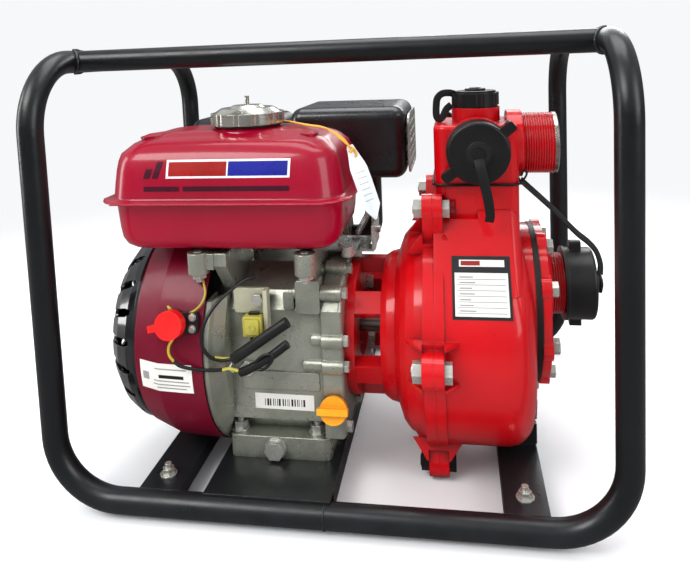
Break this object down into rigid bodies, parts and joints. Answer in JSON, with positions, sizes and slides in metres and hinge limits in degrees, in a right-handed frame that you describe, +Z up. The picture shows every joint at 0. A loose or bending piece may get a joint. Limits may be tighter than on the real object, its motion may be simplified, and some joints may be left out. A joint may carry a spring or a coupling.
{
  "type": "portable fire pump",
  "caption": "Petrol engine close-coupled to a red self-priming pump with a three-way outlet, carried in a black bent-tube frame on rubber feet.",
  "frame": {"origin": "centre of the frame's footprint, on the ground under the rubber feet", "axes": "+X from the recoil starter to the suction port, along the crankshaft; +Y to the rear, away from the fuel cap and stop switch; +Z up"},
  "size_m": [0.5286, 0.3824, 0.4292],
  "materials": {
    "frame_black": "satin",
    "black_rubber": "matte",
    "zinc_steel": "satin",
    "cast_aluminium": "satin",
    "crimson_paint": "gloss",
    "pump_red": "gloss",
    "black_plastic": "satin",
    "black_gloss": "gloss",
    "muffler_black": "satin",
    "bright_metal": "polished",
    "switch_red": "gloss",
    "yellow_plastic": "gloss",
    "cream_plastic": "satin",
    "machined_steel": "satin",
    "cast_iron": "matte",
    "filter_foam": "matte"
  },
  "bodies": {
    "frame": {"air_cleaner_base": "black_plastic", "air_cleaner_cover": "black_plastic", "air_filter_element": "filter_foam", "cap_straps": "black_rubber", "carburettor": "cast_aluminium", "control_plate": "zinc_steel", "crankcase": "cast_aluminium", "crankcase_side_cover": "cast_aluminium", "cross_channels": "frame_black", "cylinder_head": "cast_aluminium", "engine_mount_plate": "frame_black", "engine_screws": "zinc_steel", "fan_housing": "crimson_paint", "frame_screws": "zinc_steel", "frame_tube_loop": "frame_black", "fuel_tank_lower": "crimson_paint", "fuel_tank_upper": "crimson_paint", "ignition_coil": "black_plastic", "ignition_wiring": "black_rubber", "inner_volute": "cast_iron", "main_bearings": "machined_steel", "muffler": "muffler_black", "muffler_guard": "bright_metal", "oil_alert_unit": "cream_plastic", "piston_with_rings_and_pin": "cast_aluminium", "pump_adapter": "pump_red", "pump_foot_bracket": "frame_black", "pump_screws": "zinc_steel", "pump_seals": "black_rubber", "recoil_cover": "black_gloss", "rocker_cover": "machined_steel", "rubber_feet": "black_rubber", "spark_plug_and_cap": "machined_steel", "stop_switch_base": "black_plastic", "suction_flange": "pump_red", "top_rails": "frame_black", "valve_gear": "machined_steel", "volute_casing": "pump_red"},
    "engine_rotor": {"crankshaft": "machined_steel", "flywheel": "machined_steel", "cooling_fan": "black_plastic", "impeller": "cast_iron", "seal_rotor": "cast_iron"},
    "camshaft": {"camshaft": "machined_steel"},
    "starter_reel": {"recoil_reel": "black_plastic"},
    "starter_grip": {"starter_grip": "black_plastic"},
    "stop_switch_knob": {"stop_switch_knob": "switch_red"},
    "fuel_cap": {"fuel_cap": "bright_metal"},
    "throttle_lever": {"throttle_lever": "zinc_steel"},
    "governor_arm": {"governor_arm": "zinc_steel"},
    "choke_lever": {"choke_lever": "zinc_steel"},
    "fuel_valve_lever": {"fuel_valve_lever": "zinc_steel"},
    "air_cleaner_knob": {"air_cleaner_knob": "black_plastic"},
    "dipstick_front": {"dipstick_front": "yellow_plastic"},
    "dipstick_rear": {"dipstick_rear": "yellow_plastic"},
    "front_outlet_cap": {"front_outlet_cap": "black_plastic"},
    "rear_outlet_cap": {"rear_outlet_cap": "black_plastic"},
    "priming_cap": {"priming_cap": "black_plastic"},
    "suction_cap": {"suction_cap": "black_plastic"},
    "check_valve_flap": {"check_valve_flap": "black_rubber"}
  },
  "joints": [
    {"name": "rotor_spin", "type": "hinge", "parent": "frame", "child": "engine_rotor", "pos_m": [0, -0.048, 0.134], "axis": [1, 0, 0], "continuous": true},
    {"name": "cam_spin", "type": "hinge", "parent": "frame", "child": "camshaft", "pos_m": [0, 0.00365, 0.1085], "axis": [1, 0, 0], "continuous": true},
    {"name": "reel_spin", "type": "hinge", "parent": "frame", "child": "starter_reel", "pos_m": [-0.213, -0.048, 0.134], "axis": [-1, 0, 0], "range_deg": [0, 716.2]},
    {"name": "grip_pull", "type": "slide", "parent": "frame", "child": "starter_grip", "axis": [0, 1, 0], "range_m": [0, 0.501]},
    {"name": "stop_switch_turn", "type": "hinge", "parent": "frame", "child": "stop_switch_knob", "pos_m": [-0.138, -0.16402, 0.17671], "axis": [0, -0.982, 0.1891], "range_deg": [0, 40]},
    {"name": "fuel_cap_turn", "type": "hinge", "parent": "frame", "child": "fuel_cap", "pos_m": [-0.0815, -0.086, 0.35], "axis": [0, 0, 1], "range_deg": [0, 90]},
    {"name": "throttle_turn", "type": "hinge", "parent": "frame", "child": "throttle_lever", "pos_m": [0.014, -0.036, 0.2194], "axis": [0, 0, 1], "range_deg": [0, 25]},
    {"name": "governor_turn", "type": "hinge", "parent": "frame", "child": "governor_arm", "pos_m": [0.033, -0.025, 0.228], "axis": [1, 0, 0], "range_deg": [-12, 12]},
    {"name": "choke_turn", "type": "hinge", "parent": "frame", "child": "choke_lever", "pos_m": [-0.122, 0.10697, 0.19982], "axis": [0, -1, 0], "range_deg": [0, 60]},
    {"name": "fuel_valve_turn", "type": "hinge", "parent": "frame", "child": "fuel_valve_lever", "pos_m": [-0.122, 0.10697, 0.18382], "axis": [0, -1, 0], "range_deg": [0, 50]},
    {"name": "air_cleaner_knob_turn", "type": "hinge", "parent": "frame", "child": "air_cleaner_knob", "pos_m": [-0.133, 0.064, 0.35], "axis": [0, 0, 1], "range_deg": [0, 1080]},
    {"name": "dipstick_front_turn", "type": "hinge", "parent": "frame", "child": "dipstick_front", "pos_m": [0.002, -0.115, 0.079], "axis": [0, -0.9659, 0.2588], "range_deg": [0, 720]},
    {"name": "dipstick_rear_turn", "type": "hinge", "parent": "frame", "child": "dipstick_rear", "pos_m": [0.002, 0.038, 0.079], "axis": [0, 0.9659, 0.2588], "range_deg": [0, 720]},
    {"name": "front_cap_turn", "type": "hinge", "parent": "frame", "child": "front_outlet_cap", "pos_m": [0.141, -0.105, 0.321], "axis": [0, -1, 0], "range_deg": [0, 720]},
    {"name": "rear_cap_turn", "type": "hinge", "parent": "frame", "child": "rear_outlet_cap", "pos_m": [0.141, 0.009, 0.321], "axis": [0, 1, 0], "range_deg": [0, 720]},
    {"name": "priming_cap_turn", "type": "hinge", "parent": "frame", "child": "priming_cap", "pos_m": [0.141, -0.048, 0.36], "axis": [0, 0, 1], "range_deg": [0, 720]},
    {"name": "suction_cap_turn", "type": "hinge", "parent": "frame", "child": "suction_cap", "pos_m": [0.24, -0.048, 0.18], "axis": [1, 0, 0], "range_deg": [0, 720]},
    {"name": "check_valve_swing", "type": "hinge", "parent": "frame", "child": "check_valve_flap", "pos_m": [0.192, -0.048, 0.202], "axis": [0, 1, 0], "range_deg": [0, 40]}
  ],
  "couplings": [
    {"joint": "cam_spin", "follows": "rotor_spin", "ratio": -0.5},
    {"joint": "grip_pull", "follows": "reel_spin", "m_per_rad": 0.04}
  ]
}
